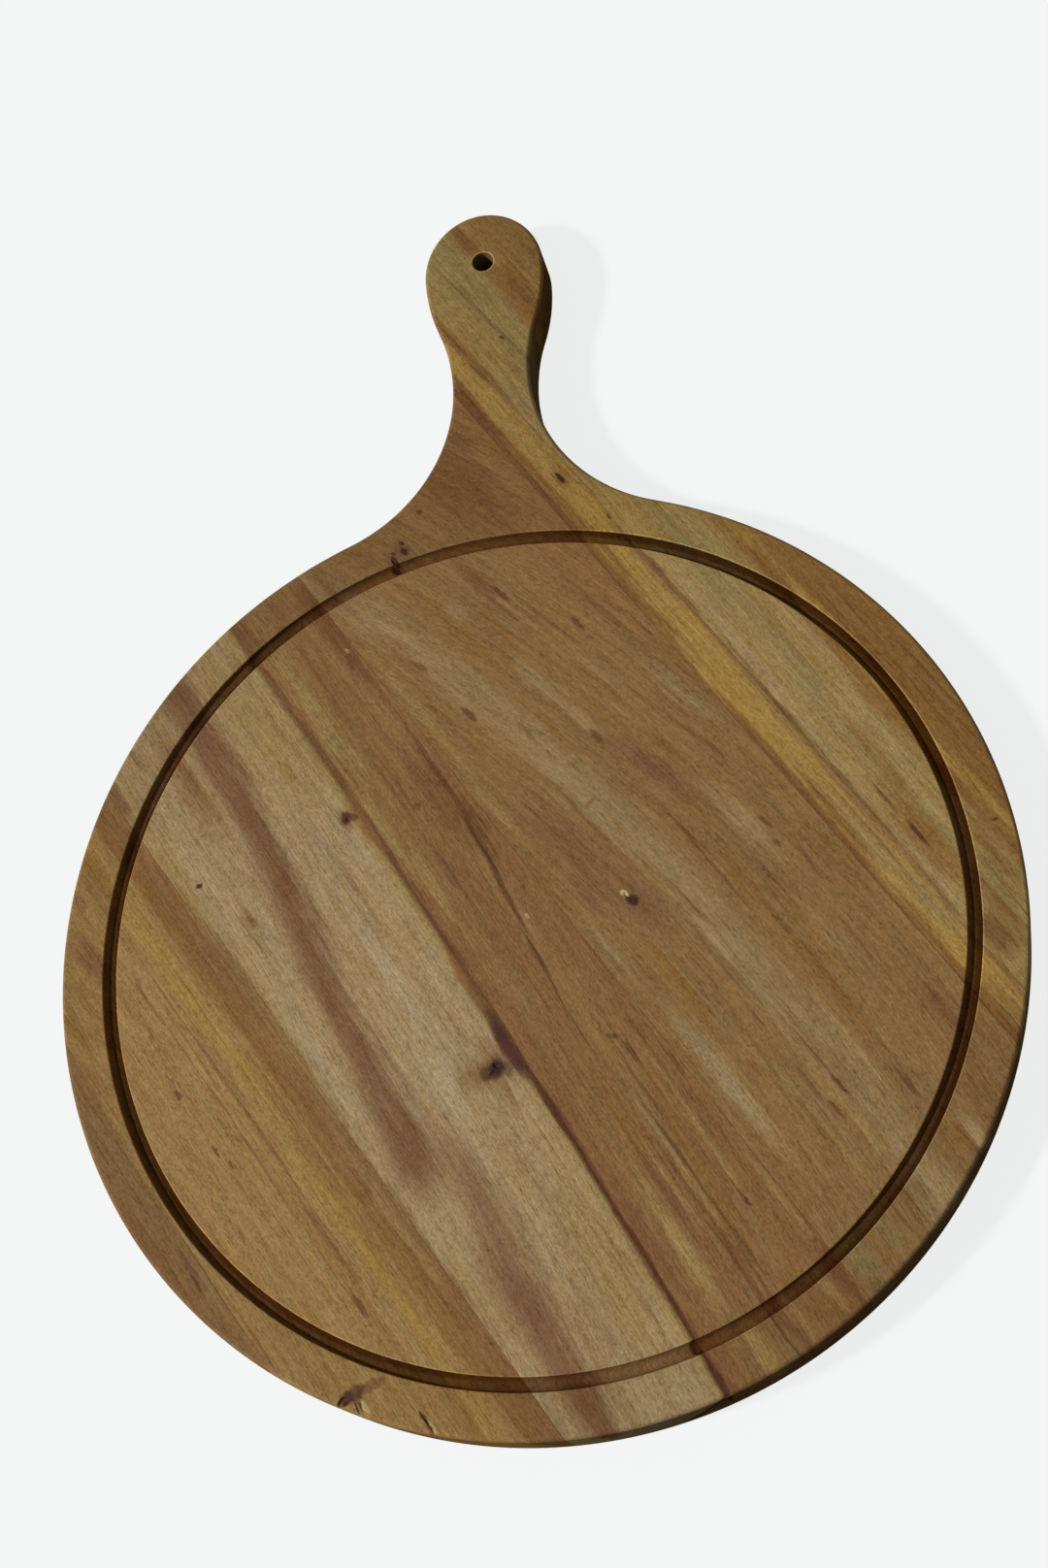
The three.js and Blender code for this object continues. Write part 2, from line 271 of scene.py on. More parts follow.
LOWER_FIGURE = Figure(
    seed=23.0,
    flow=(-0.0691, -0.0001265),
    rings=0.9,
    vein=-24.2,
    bands=[
        (16, "red"), (8, "red"), (2, "brown"), (-6, "red"), (-13, "brown"), (-19, "red"), (-23.5, "red"),
        (-25.5, "tan"), (-30, "pale"), (-42, "pale"), (-54, "pale"), (-66, "pale"), (-80, "pale"),
        (-95, "tan"),
    ],
    streaks=[
        # Heartwood above the vein, from the left
        (-134, 11.2, 80, 9.4, 0, "dark", 0.97), (-123, 10, 9, 3, -20, "line", 0.7),
        (-127, 11.2, 3, 1.6, 0, "bright", 0.6), (-120, -3, 60, 5, -2, "dark", 0.5),
        (-75, -5.6, 50, 5, -3, "dark", 0.7), (-110, 4, 70, 2, 0, "line", 0.25),
        (-115, -12, 130, 11, -3, "tan", 0.95), (-90, -9.5, 30, 1.8, -2, "bright", 0.35),
        (-105, -10.6, 60, 1.4, -2, "line", 0.3), (-85, -15.2, 60, 1.5, -2, "line", 0.4),
        (-60, -17, 60, 5, -3, "tan", 0.75), (-157, -15, 20, 6, 0, "smoke", 0.8),
        (-62, -3, 4.4, 3.4, 0, "line", 0.6), (-62, 3.6, 60, 9, -4, "dark", 0.75),
        (-66, 8.6, 46, 6, -4, "smoke", 0.8), (-44, 8.8, 50, 6, -6, "dark", 0.8),
        (-64, 9.4, 60, 3, -3, "line", 0.7), (-36, 6.2, 48, 3.4, -6, "line", 0.8),
        (-34, 6, 40, 1.8, -6, "vein", 0.7), (-14, 2.6, 38, 3.2, -9, "line", 0.9),
        (12, -2.4, 40, 1.9, -7, "line", 0.85), (36, -5.4, 40, 1.6, -5, "line", 0.6),
        (-42, 10, 40, 1.6, -7, "line", 0.7), (-25, 0.5, 40, 1.5, -9, "line", 0.4),
        # The small pale fleck at s -5.2, q 3.6 is a painted glint
        (-5.2, 3.6, 3, 1.6, 0, "splinter", 0.45), (-34, -8, 44, 6, -2, "dark", 0.85),
        (-6, -9, 50, 12, -8, "dark", 0.45), (-40, -14.5, 50, 4, -2, "tan", 0.7),
        (24, -16, 60, 8, -3, "red", 0.5), (20, -9, 60, 1.4, -4, "line", 0.35),
        # Heartwood to the right, full of thin lines
        (66, 12.2, 30, 1.8, -2, "line", 0.75), (92, 10, 60, 1.3, -2, "line", 0.4),
        (58, 8.5, 40, 1.3, -2, "line", 0.45), (54, 3.2, 18, 1.8, -2, "line", 0.8),
        (80, 2, 60, 1.3, -3, "line", 0.35), (75, -1.2, 60, 1.7, -3, "line", 0.75),
        (88, -4.8, 70, 1.6, -3, "line", 0.7), (60, -9, 60, 1.4, -3, "line", 0.4),
        (122, -6.2, 50, 2.4, -1.5, "line", 0.6), (138, -10.4, 70, 5, -1, "dark", 0.95),
        (128, -11.5, 50, 1.6, -1, "line", 0.6), (100, -9.5, 40, 1.4, -2, "line", 0.5),
        (88, -14.6, 60, 2.6, -3.5, "dark", 0.7), (100, -16.6, 50, 1.3, -4, "line", 0.5),
        (153, 11, 38, 6, 0, "dark", 0.9), (156, -22, 36, 9, 0, "tan", 0.8), (156, -6, 34, 4, 0, "tan", 0.7),
        (156, 5.5, 34, 4, 0, "tan", 0.6), (155, -13.2, 34, 1.7, 0, "vein", 0.7),
        (155, -9.8, 34, 2.6, 0, "dark", 0.8), (155, 1.5, 34, 3, 0, "amber", 0.7),
        (85, 5.4, 90, 2.6, -3, "tan", 0.6), (100, -2.8, 90, 2.6, -3, "amber", 0.7),
        (95, -7, 90, 2.6, -3, "tan", 0.6), (70, -12, 70, 2.8, -3, "amber", 0.7),
        (100, -12.8, 80, 2.2, -3, "tan", 0.55), (120, 6.6, 60, 3, -1, "amber", 0.6),
        (120, 12.2, 50, 2.4, 0, "tan", 0.6), (46.5, 1.4, 6, 2.4, 45, "line", 0.75),
        (46, 8.6, 5, 1.8, 30, "line", 0.5), (113, 3.2, 16, 1.6, 0, "line", 0.7),
        (116.5, 3, 4.4, 2.2, 0, "stain", 0.75), (130, 0, 60, 4, -1, "brown", 0.6),
        (112, -21.5, 70, 7, -4, "tan", 0.95), (118, -23, 30, 2, -4, "bright", 0.35),
        (105, -28.5, 90, 5, -4.5, "dark", 0.55), (60, -22, 40, 8, -4, "red", 0.5),
        # The purple stain under the vein and the knot below it
        (4, -25.2, 44, 4, -4, "dark", 0.8), (27, -27.6, 40, 3.9, -5, "stain", 0.97),
        (29, -29.2, 28, 3.9, -5, "stain", 0.95), (27.5, -28.6, 13.5, 5, -4, "stain", 0.9),
        (29, -32, 24, 12, -6, "smoke", 0.7), (33.4, -32.4, 7, 4, -20, "stain", 0.6),
        (55, -29.2, 30, 2.6, -4, "vein", 0.7), (38, -36.5, 26, 12, -10, "brown", 0.85),
        (22, -34, 18, 10, -30, "brown", 0.6), (30.5, -36.5, 13, 15, 0, "smoke", 0.5),
        (30.8, -35.6, 8.6, 9, 0, "stain", 0.95), (30.4, -39, 6, 6.6, 0, "stain", 0.95),
        (30.6, -35.4, 5.4, 6, 20, "knot", 0.9), (28.2, -36.2, 1.4, 3.4, 10, "grey", 0.3),
        (28, -45, 16, 20, 0, "amber", 0.6),
        # The knot at the left of the vein
        (-70, -20.8, 40, 4, -3, "red", 0.7), (-74.5, -24.4, 14, 8, 0, "dark", 0.55),
        (-74.6, -25, 6.4, 5.8, -30, "vein", 0.95), (-73.4, -22.8, 4, 4, 0, "line", 0.8),
        (-100, -31.3, 5, 2, 0, "line", 0.6),
        # Sapwood below the vein
        (-125, -31, 130, 26, -3, "tan", 0.9), (-90, -37, 90, 5, -3, "pale", 0.5),
        (110, -46, 130, 26, -4, "tan", 0.8), (118, -57, 50, 16, -2, "grey", 0.75),
        (152, -54, 40, 32, -2, "bright", 0.45), (155, -38, 44, 2.8, -6, "vein", 0.9),
        (25, -51, 60, 11, -6, "bright", 0.85), (-20, -44, 90, 9, -2, "bright", 0.6),
        (0, -34, 60, 6, -3, "bright", 0.4), (60, -42, 50, 5, -6, "bright", 0.4),
        (85, -54, 50, 6, -4, "bright", 0.35), (-50, -37, 60, 1.6, -2, "brown", 0.5),
        (-40, -40, 60, 1.6, -2, "brown", 0.5), (60, -36, 40, 1.6, -4, "brown", 0.5),
        (100, -39, 60, 1.6, -5, "brown", 0.6), (118, -42, 50, 1.6, -4, "brown", 0.5),
        (70, -47, 60, 2, -4, "brown", 0.4),
        # Smoky bands that drift across the sapwood
        (-157, -47, 40, 24, 0, "smoke", 0.95), (-130, -48.5, 90, 20, -4, "smoke", 0.95),
        (-98, -51.5, 90, 16, -5, "smoke", 0.95), (-112, -52.8, 60, 1.4, -2, "line", 0.4),
        (-64, -57.5, 90, 18, -6, "smoke", 0.95), (-67, -56, 24, 5, -6, "dark", 0.6),
        (-32, -63.5, 84, 19, -7, "smoke", 0.95), (-24, -66, 24, 6, -6, "dark", 0.6),
        (-2, -67, 70, 19, -6, "smoke", 0.9), (26, -72, 80, 25, -5, "smoke", 0.95),
        (38, -74, 34, 22, -20, "smoke", 0.7), (62, -63.5, 90, 19, -4, "smoke", 0.7),
        (98, -72, 84, 24, -3, "smoke", 0.95), (132, -75, 70, 20, -2, "smoke", 0.95),
        (142, -75.5, 36, 6, 0, "dark", 0.8),
        # The strip beside the outer joint
        (-122, -62, 84, 16, -3, "brown", 0.95), (-128, -60, 40, 3, -4, "dark", 0.5),
        (-118, -66, 40, 3, -3, "brown", 0.5), (-66, -72, 14, 5, 0, "amber", 0.6),
        (-66, -72, 5, 2.4, 0, "line", 0.5), (-62, -75, 40, 1.6, -1, "line", 0.5),
        (-85, -78, 80, 13, -2, "bright", 0.4), (-88.4, -79.8, 2.6, 3, 0, "knot", 0.9),
        (0, -80, 90, 6, -2, "bright", 0.35), (-40, -86, 150, 5, 0, "brown", 0.95),
        (50, -86.6, 140, 4, 0, "brown", 0.8), (85, -82, 50, 8, 0, "tan", 0.7),
        (-136, -84, 30, 8, 0, "smoke", 0.8), (-145, -72, 30, 2, 0, "line", 0.4),
    ])

OUTER_FIGURE = Figure(
    seed=37.0,
    flow=(0.0, 0.0),
    rings=-0.4,
    bands=[
        (-86, "brown"), (-91, "red"), (-96, "amber"), (-100, "honey"), (-105, "gold"), (-110, "honey"),
        (-114, "honey"), (-117, "honey"), (-121, "honey"), (-127, "honey"), (-133, "honey"), (-140, "honey"),
        (-147, "honey"), (-153, "brown"), (-159, "brown"), (-165, "red"),
    ],
    streaks=[
        # Beside the joint
        (-60, -88.5, 120, 3, 0, "dark", 0.4), (-85, -94, 90, 5, 0, "dark", 0.35),
        (30, -96, 100, 4.4, 0, "amber", 0.6), (45, -93, 60, 1.6, 0, "line", 0.35),
        (10, -99, 120, 1.4, 0, "line", 0.35), (55, -91, 70, 4, 0, "tan", 0.5),
        (-120, -92, 60, 9, 0, "red", 0.7), (-120, -106, 50, 9, 0, "amber", 0.7),
        # The gold middle and its thin lines
        (-40, -104, 120, 5, 0, "gold", 0.6), (40, -101.6, 150, 7, 0, "amber", 0.6),
        (52, -114, 120, 7, 0, "amber", 0.55), (10, -106, 80, 4.4, 0, "tan", 0.5),
        (75, -109, 60, 4, 0, "tan", 0.5), (-20, -110.6, 220, 1.3, 0, "line", 0.45),
        (-30, -103.5, 170, 1, 0, "line", 0.35), (-60, -99.5, 60, 1.3, 0, "line", 0.35),
        (40, -112.2, 60, 2.4, 0, "dark", 0.6), (-20, -113.4, 120, 1.1, 0, "line", 0.35),
        (0, -116.5, 220, 1.3, 0, "dark", 0.5), (66, -115.6, 12, 2.6, 0, "line", 0.75),
        (-68, -117.2, 14, 1.3, -1, "line", 0.9), (-72, -116, 16, 1.2, -4, "line", 0.5),
        (-30.5, -126.2, 6, 2.4, 0, "line", 0.8), (-35, -125.6, 12, 1.3, 0, "line", 0.4),
        (-6, -126.2, 6.4, 2, 0, "line", 0.8), (1, -124.5, 5, 1.4, 0, "line", 0.7),
        (-5, -118, 4, 1.4, 0, "line", 0.5), (30, -122, 80, 1.2, 0, "line", 0.3),
        (20, -130, 90, 5, 0, "amber", 0.3), (-30, -120.5, 90, 4, 0, "tan", 0.5),
        # The rim
        (-92, -126, 40, 10, 2, "red", 0.95), (-74, -142, 30, 7, 2, "amber", 0.95),
        (-82, -136, 40, 2.4, 0, "honey", 0.7), (-60, -150, 60, 8, 0, "red", 0.6),
        (-108, -110, 40, 8, 0, "brown", 0.7), (-112, -117, 12, 4, 0, "red", 0.7),
        (30, -151, 80, 1.4, 0, "line", 0.6), (55, -149, 40, 1.2, 0, "line", 0.5),
        (27, -155.4, 12, 1.3, -3, "line", 0.85), (-20, -156, 70, 1.3, 0, "line", 0.5),
        (-40, -152, 60, 1.2, 0, "line", 0.45), (-10, -147, 80, 1.2, 0, "line", 0.35),
        (112, -108, 40, 9, 0, "amber", 0.5), (19, -154.8, 16, 3.2, 0, "smoke", 0.7),
        (10, -160, 60, 1.5, 0, "line", 0.4),
        # Rim knot with flakes, and a short crack beyond it
        (90, -124.5, 3, 10, 0, "amber", 0.8), (88.6, -128.5, 4, 12, 0, "smoke", 0.8),
        (87.8, -132.5, 6, 9, 12, "stain", 0.7), (87.0, -135.5, 5, 6, -20, "stain", 0.85),
        (88.4, -136.8, 2.4, 3.4, 0, "knot", 0.9), (93.2, -132, 7, 2.4, 0, "splinter", 0.95),
        (93, -134.8, 6, 1.2, 0, "splinter", 0.8), (92.4, -133.4, 6, 1, 0, "knot", 0.8),
        (108, -119, 9, 1.5, 0, "vein", 0.8), (111.5, -118.2, 7, 1.2, 0, "splinter", 0.9),
        (112, -119.6, 8, 1.2, 0, "dark", 0.8),
    ])

# Small pits and checks in the top face, with their sizes in millimetres and their tilt in degrees
Pit = namedtuple("Pit", "s q length width depth tilt")
PITS = [
    Pit(30.2, -34.8, 2.4, 1.6, 0.7, 20),
    Pit(31.4, -36.8, 1.2, 3.2, 0.5, 0),
    Pit(11.0, 34.0, 3.0, 1.2, 0.5, 10),
    Pit(-74, -24.8, 1.6, 1.4, 0.5, 0),
    Pit(-144.0, 44.2, 4.0, 1.4, 0.7, 0),
    Pit(87.6, -137.2, 2.6, 4.4, 1.2, 0),
    Pit(94.5, -134.0, 9.0, 2.6, 0.8, 0),
    Pit(111.0, -119.0, 12.0, 0.6, 0.5, 0),
]

# Facets round an outer edge, a lip, the bit's nose and the hole, and how fine a pit is
EDGE_STEPS = 6
LIP_STEPS = 3
NOSE_STEPS = 28
HOLE_STEPS = 64
PIT_DETAIL = 3

# The profile of an eased edge that makes it a true arc
ROUND_PROFILE = 0.5

# Faces that meet at less than this angle are shaded as one curve, and the large ones among them stay flat
SMOOTH_ANGLE = math.radians(35)
FLAT_WEIGHT = 100


def board_point(s, q, z, sizes):
    """The point of the board at a place along and across the grain, in millimetres, and a height."""
    angle = sizes.grain_angle
    x = s * math.sin(angle) + q * math.cos(angle)
    y = q * math.sin(angle) - s * math.cos(angle)
    return Vector((x * MM, y * MM, z))


def start_editing(piece):
    """Makes a piece the only selected object and opens its mesh."""
    bpy.ops.object.select_all(action="DESELECT")
    piece.select_set(True)
    bpy.context.view_layer.objects.active = piece
    bpy.ops.object.mode_set(mode="EDIT")
    bpy.ops.mesh.select_mode(type="EDGE")
    bpy.ops.mesh.select_all(action="SELECT")


def stop_editing():
    """Closes the open mesh."""
    bpy.ops.object.mode_set(mode="OBJECT")


def select_edges(piece, wanted):
    """Selects the edges of an open mesh whose two ends both pass the test."""
    bpy.ops.mesh.select_all(action="DESELECT")
    mesh = bmesh.from_edit_mesh(piece.data)
    for edge in mesh.edges:
        edge.select_set(all(wanted(end.co) for end in edge.verts))
    bmesh.update_edit_mesh(piece.data)


def select_points_beyond(piece, y):
    """Selects the points of an open mesh that lie beyond a place along the handle."""
    bpy.ops.mesh.select_all(action="DESELECT")
    mesh = bmesh.from_edit_mesh(piece.data)
    for point in mesh.verts:
        point.select_set(point.co.y > y + CHORD_ERROR)
    bmesh.update_edit_mesh(piece.data)


def steps_round(radius, angle):
    """How many facets an arc needs to stay within the chord error."""
    return math.ceil(abs(angle) / (2 * math.acos(1 - CHORD_ERROR / radius)))


def sweep(x, y, radius, angle):
    """Draws an arc on from the selected point, anticlockwise about a centre where the angle is positive."""
    bpy.ops.mesh.spin(steps=steps_round(radius, angle), angle=angle, center=(x, y, 0), axis=(0, 0, -1))


def draw_outline(sizes):
    """Draws the right half of the outline as tangent arcs from a point, mirrors it and fills it."""
    quarter_turn = math.pi / 2
    radius = sizes.round_radius
    half_neck = sizes.neck_width / 2
    half_head = sizes.head_width / 2
    neck_y = radius + sizes.round_to_neck
    head_y = neck_y + sizes.neck_to_head
    swell = half_head - half_neck
    hollow = (neck_y ** 2 + half_neck ** 2 - radius ** 2) / (2 * (radius - half_neck))
    hollow_angle = math.atan2(neck_y, half_neck + hollow)
    swell_radius = (sizes.neck_to_head ** 2 + swell ** 2) / (4 * swell)
    swell_angle = math.asin(sizes.neck_to_head / 2 / swell_radius)

    bpy.ops.object.select_all(action="DESELECT")
    bpy.ops.mesh.primitive_plane_add(size=MM)
    panel = bpy.context.object
    panel.name = "panel"
    bpy.ops.object.mode_set(mode="EDIT")
    bpy.ops.mesh.select_mode(type="VERT")
    bpy.ops.mesh.merge(type="CENTER")
    bpy.ops.transform.translate(value=(0, -radius, 0))
    sweep(0, 0, radius, quarter_turn + hollow_angle)
    sweep(half_neck + hollow, neck_y, hollow, -hollow_angle)
    sweep(half_neck + swell_radius, neck_y, swell_radius, -swell_angle)
    sweep(half_head - swell_radius, head_y, swell_radius, swell_angle)
    sweep(0, head_y, half_head, quarter_turn)
    select_points_beyond(panel, head_y)
    bpy.ops.transform.resize(value=(1, sizes.head_to_tip / half_head, 1), center_override=(0, head_y, 0))
    bpy.ops.mesh.select_all(action="SELECT")
    bpy.ops.mesh.symmetrize(direction="POSITIVE_X", threshold=CHORD_ERROR)
    bpy.ops.mesh.select_all(action="SELECT")
    bpy.ops.mesh.edge_face_add()
    bpy.ops.mesh.extrude_region_move(TRANSFORM_OT_translate={"value": (0, 0, sizes.thickness)})
    bpy.ops.mesh.select_all(action="SELECT")
    bpy.ops.mesh.normals_make_consistent(inside=False)
    return panel


def groove_cutter(sizes):
    """A ring whose lower half is the sweep of a round-nosed bit."""
    radius = sizes.round_radius - sizes.rim_width - sizes.groove_width / 2
    bpy.ops.object.select_all(action="DESELECT")
    bpy.ops.mesh.primitive_torus_add(
        major_radius=radius, minor_radius=sizes.groove_width / 2,
        major_segments=steps_round(radius, 2 * math.pi), minor_segments=NOSE_STEPS)
    cutter = bpy.context.object
    start_editing(cutter)
    bpy.ops.transform.resize(value=(1, 1, 2 * sizes.groove_depth / sizes.groove_width))
    bpy.ops.transform.translate(value=(0, 0, sizes.thickness))
    stop_editing()
    return cutter


def hole_cutter(sizes, hole_y):
    """A drill that runs out of both faces."""
    bpy.ops.object.select_all(action="DESELECT")
    bpy.ops.mesh.primitive_cylinder_add(
        vertices=HOLE_STEPS, radius=sizes.hole_diameter / 2, depth=2 * sizes.thickness)
    cutter = bpy.context.object
    start_editing(cutter)
    bpy.ops.transform.translate(value=(0, hole_y, sizes.thickness / 2))
    stop_editing()
    return cutter


def pit_cutter(sizes):
    """All the pits and checks of the top face, as ovals that stand half above it."""
    bpy.ops.object.select_all(action="DESELECT")
    ovals = []
    for pit in PITS:
        bpy.ops.mesh.primitive_ico_sphere_add(subdivisions=PIT_DETAIL, radius=1)
        oval = bpy.context.object
        start_editing(oval)
        bpy.ops.transform.resize(value=(pit.length / 2 * MM, pit.width / 2 * MM, pit.depth * MM))
        turn = sizes.grain_angle - math.pi / 2 + math.radians(pit.tilt)
        bpy.ops.transform.rotate(value=-turn, orient_axis="Z", center_override=(0, 0, 0))
        bpy.ops.transform.translate(value=board_point(pit.s, pit.q, sizes.thickness, sizes))
        stop_editing()
        ovals.append(oval)
    for oval in ovals:
        oval.select_set(True)
    bpy.ops.object.join()
    return bpy.context.object


def cut_away(panel, cutter):
    """Takes a cutter's shape out of the panel."""
    cut = panel.modifiers.new("cut", "BOOLEAN")
    cut.operation = "DIFFERENCE"
    cut.solver = "EXACT"
    cut.object = cutter
    bpy.ops.object.select_all(action="DESELECT")
    bpy.context.view_layer.objects.active = panel
    panel.select_set(True)
    bpy.ops.object.modifier_apply(modifier=cut.name)
    bpy.data.objects.remove(cutter)


class SERVINGBOARD_OT_panel(bpy.types.Operator):
    """Cut the glued panel to its outline, ease its edges, rout the groove and drill the hole"""

    bl_idname = "serving_board.panel"
    bl_label = "Panel"

    def execute(self, context):
        sizes = context.scene.serving_board_sizes
        top = sizes.thickness
        near = CHORD_ERROR * 2
        on_curve = CHORD_ERROR * 8
        hole = Vector((0, cad_box[1].y - sizes.hole_to_tip))
        outer = sizes.round_radius - sizes.rim_width
        lips = (outer, outer - sizes.groove_width)

        def on_face(point, height):
            return abs(point.z - height) < near

        def on_lip(point):
            return on_face(point, top) and any(abs(point.xy.length - lip) < on_curve for lip in lips)

        def on_mouth(point):
            on_hole = abs((point.xy - hole).length - sizes.hole_diameter / 2) < on_curve
            return on_hole and (on_face(point, top) or on_face(point, 0))

        panel = draw_outline(sizes)
        bpy.ops.mesh.select_mode(type="EDGE")
        for height in (top, 0):
            select_edges(panel, lambda point: on_face(point, height))
            bpy.ops.mesh.bevel(offset=sizes.edge_radius, segments=EDGE_STEPS, profile=ROUND_PROFILE)
        stop_editing()
        cut_away(panel, groove_cutter(sizes))
        cut_away(panel, hole_cutter(sizes, hole.y))
        start_editing(panel)
        select_edges(panel, on_lip)
        bpy.ops.mesh.bevel(offset=sizes.groove_ease, segments=LIP_STEPS, profile=ROUND_PROFILE)
        select_edges(panel, on_mouth)
        bpy.ops.mesh.bevel(offset=sizes.hole_ease, segments=LIP_STEPS, profile=ROUND_PROFILE)
        stop_editing()
        cut_away(panel, pit_cutter(sizes))
        return {"FINISHED"}


def joint_places(sizes):
    """The three glue joints, from the handle to the outer stave, in metres across the grain."""
    middle = sizes.middle_joint
    return (middle + sizes.upper_stave_width, middle, middle - sizes.lower_stave_width)


def ripped(panel, name, low, high, sizes):
    """A copy of the panel between two places across the grain, with flat faces where it was ripped."""
    piece = panel.copy()
    piece.data = panel.data.copy()
    piece.name = name
    bpy.context.collection.objects.link(piece)
    across = board_point(0, 1, 0, sizes).normalized()
    start_editing(piece)
    bpy.ops.mesh.bisect(plane_co=across * high, plane_no=across, use_fill=True, clear_outer=True)
    bpy.ops.mesh.select_all(action="SELECT")
    bpy.ops.mesh.bisect(plane_co=across * low, plane_no=across, use_fill=True, clear_inner=True)
    stop_editing()
    bpy.ops.object.shade_smooth_by_angle(angle=SMOOTH_ANGLE)
    even = piece.modifiers.new("flat faces", "WEIGHTED_NORMAL")
    even.keep_sharp = True
    even.weight = FLAT_WEIGHT
    bpy.ops.object.modifier_apply(modifier=even.name)
    return piece


def clear_nodes(owner):
    """The empty node tree of a material or a world."""
    owner.use_nodes = True
    owner.node_tree.nodes.clear()
    return owner.node_tree


def add_node(tree, kind, sockets=(), out=0, stops=(), **settings):
    """Adds a shader node with its settings and colour stops, sets or links its sockets, and gives what
    comes out of it: one output by its number or name, or a slice of them."""
    node = tree.nodes.new(kind)
    for name, value in settings.items():
        setattr(node, name, value)
    for socket, value in dict(sockets).items():
        if isinstance(value, bpy.types.NodeSocket):
            tree.links.new(value, node.inputs[socket])
        else:
            node.inputs[socket].default_value = value
    if stops:
        node.color_ramp.interpolation = "EASE"
        elements = node.color_ramp.elements
        while len(elements) < len(stops):
            elements.new(1.0)
        for element, (place, colour) in zip(elements, stops):
            element.position = place
            element.color = (*colour, 1)
    return node.outputs[out] if node.outputs else None


# The colour sockets of a Mix node, which shares its socket names with other types
MIX_FACTOR, MIX_A, MIX_B, MIX_RESULT = 0, 6, 7, 2

# Noise layers of the grain: length and width in millimetres. Pores, dashes and speckle are somewhat coarser
# than in real wood, because finer ones wouldn't show in the render.
GRAIN_LAYERS = {
    "broad": (80, 6.0),
    "middle": (36, 2.4),
    "narrow": (16, 1.1),
    "fine": (14, 0.5),
    "speckle": (1.1, 0.48),
    "mottle": (4, 2.5),
    "warmth": (45, 4.0),
    "pores": (3.4, 0.36),
    "dash": (2.6, 0.4),
}
NOISE_DETAIL = 2.0
NOISE_ROUGHNESS = 0.55

# How far each layer pushes a mark aside, in millimetres. Thin lines run straight, broad ones fray out along
# the grain, and small marks are ragged. Beside a vein the bands stay close to it, because it parts two woods
# cleanly.
PUSH_THIN = {"middle": 3.0, "narrow": 1.5}
PUSH_BROAD = {"broad": 9.0, "middle": 4.0, "narrow": 2.0}
PUSH_RAGGED = {"mottle": 2.0, "speckle": 1.0}
PUSH_RAGGED_ALONG = {"mottle": 2.5}
PUSH_BANDS = {"broad": 12.0, "middle": 5.0, "narrow": 2.0}
PUSH_BANDS_AT_VEIN = {"middle": 2.0, "narrow": 1.5}

# How much each layer lightens or darkens the wood, the darker the redder, and how warmth turns its colour
TONE_SHARES = {
    "broad": 0.4, "middle": 0.5, "narrow": 0.6, "fine": 0.7, "dash": 0.8, "speckle": 1.2, "mottle": 0.5}
TONE_COLOUR = (0.82, 1.0, 1.25)
WARMTH_COLOUR = (0.2, 0.0, -0.4)

# Where in its layer a pore starts and is full, and how much it darkens the wood
PORE_STARTS, PORE_FULL = 0.08, 0.24
PORE_SHADE = -0.35

# Marks shorter than this, streaks wider than this, and streaks so wide that they are clouds, in millimetres
SMALL_MARK = 14
BROAD_STREAK = 4
CLOUD = 9.5

# How far in from its rim a small mark, a streak and a cloud fade
MARK_FADE, STREAK_FADE, CLOUD_FADE = 0.5, 0.65, 0.95

# The vein: half its width where it is full and where it ends, in millimetres, and how strong it is at two
# places along the grain
VEIN_CORE, VEIN_END = 0.5, 2.1
VEIN_PALE_AT, VEIN_DARK_AT = -120.0, 70.0
VEIN_PALE, VEIN_DARK = 0.5, 0.97

# The way the lamp's light runs across the board, and the groove's colour as shares of the wood's
# That colour is router scorch with painted shade, from the wall in the lamp's shadow to the lit wall, painted
# darkest
GROOVE_LIGHT_WAY = math.radians(12)
GROOVE_SCORCH_AND_SHADE = [
    (0.0, (0.85, 0.62, 0.5)), (0.2, (0.7, 0.51, 0.42)), (0.36, (0.4, 0.29, 0.24)),
    (0.5, (0.27, 0.19, 0.155)), (0.62, (0.15, 0.09, 0.065)), (1.0, (0.12, 0.07, 0.05)),
]

# Scorch with painted shade where the groove runs with the lamp's light and neither wall is lit more
GROOVE_WITH_LIGHT = (0.55, 0.43, 0.37)
# How far outwards the light runs where that colour is full and where it is gone
WITH_LIGHT_FULL, WITH_LIGHT_GONE = 0.1, 0.45

# How pale the groove's lips are, as bare wood with a painted highlight
BARE_LIP_AND_HIGHLIGHT = 1.4
# The depths in millimetres at which the lip and the scorch with painted shade start and are full
LIP_STARTS, LIP_FULL = 0.02, 0.1
SCORCH_STARTS, SCORCH_FULL = 0.35, 0.6

# The pale ring is a painted highlight round the mouth, and the dark one is painted shade in the bore
# Rings round the bore: the tint, and where it is full and gone as shares of the mouth's rounding
BORE_SHADE_AND_HIGHLIGHT = (("splinter", 0.8, 1.4), ("knot", 0.1, 0.3))
BORE_STRENGTH = 0.6

# What the rim keeps of the wood's colour, the width of the strip by the groove where that sets in, and the
# height over the table from which it does, in millimetres
RIM_TONE = (0.885, 0.87, 0.82)
RIM_START = 3
TABLE_EDGE = 0.2

# The sheen of the face, the depths in millimetres where it is full and gone, how dull the wood is as the
# grain swings, and its relief
FACE_SHEEN = 0.12
SHEEN_FULL, SHEEN_GONE = 0.5, 1.5
DULL, SMOOTH = 0.62, 0.48
GRAIN_SWING = 0.2
OIL_IOR = 1.46
BUMP_STRENGTH = 0.3
BUMP_HEIGHT = 0.15 * MM

# The glue's mottling, and how dull it is
GLUE_MOTTLE = 3 * MM
GLUE_ROUGHNESS = 0.8
GLUE_IOR = 1.46
GLUE_SHEEN = 0.05


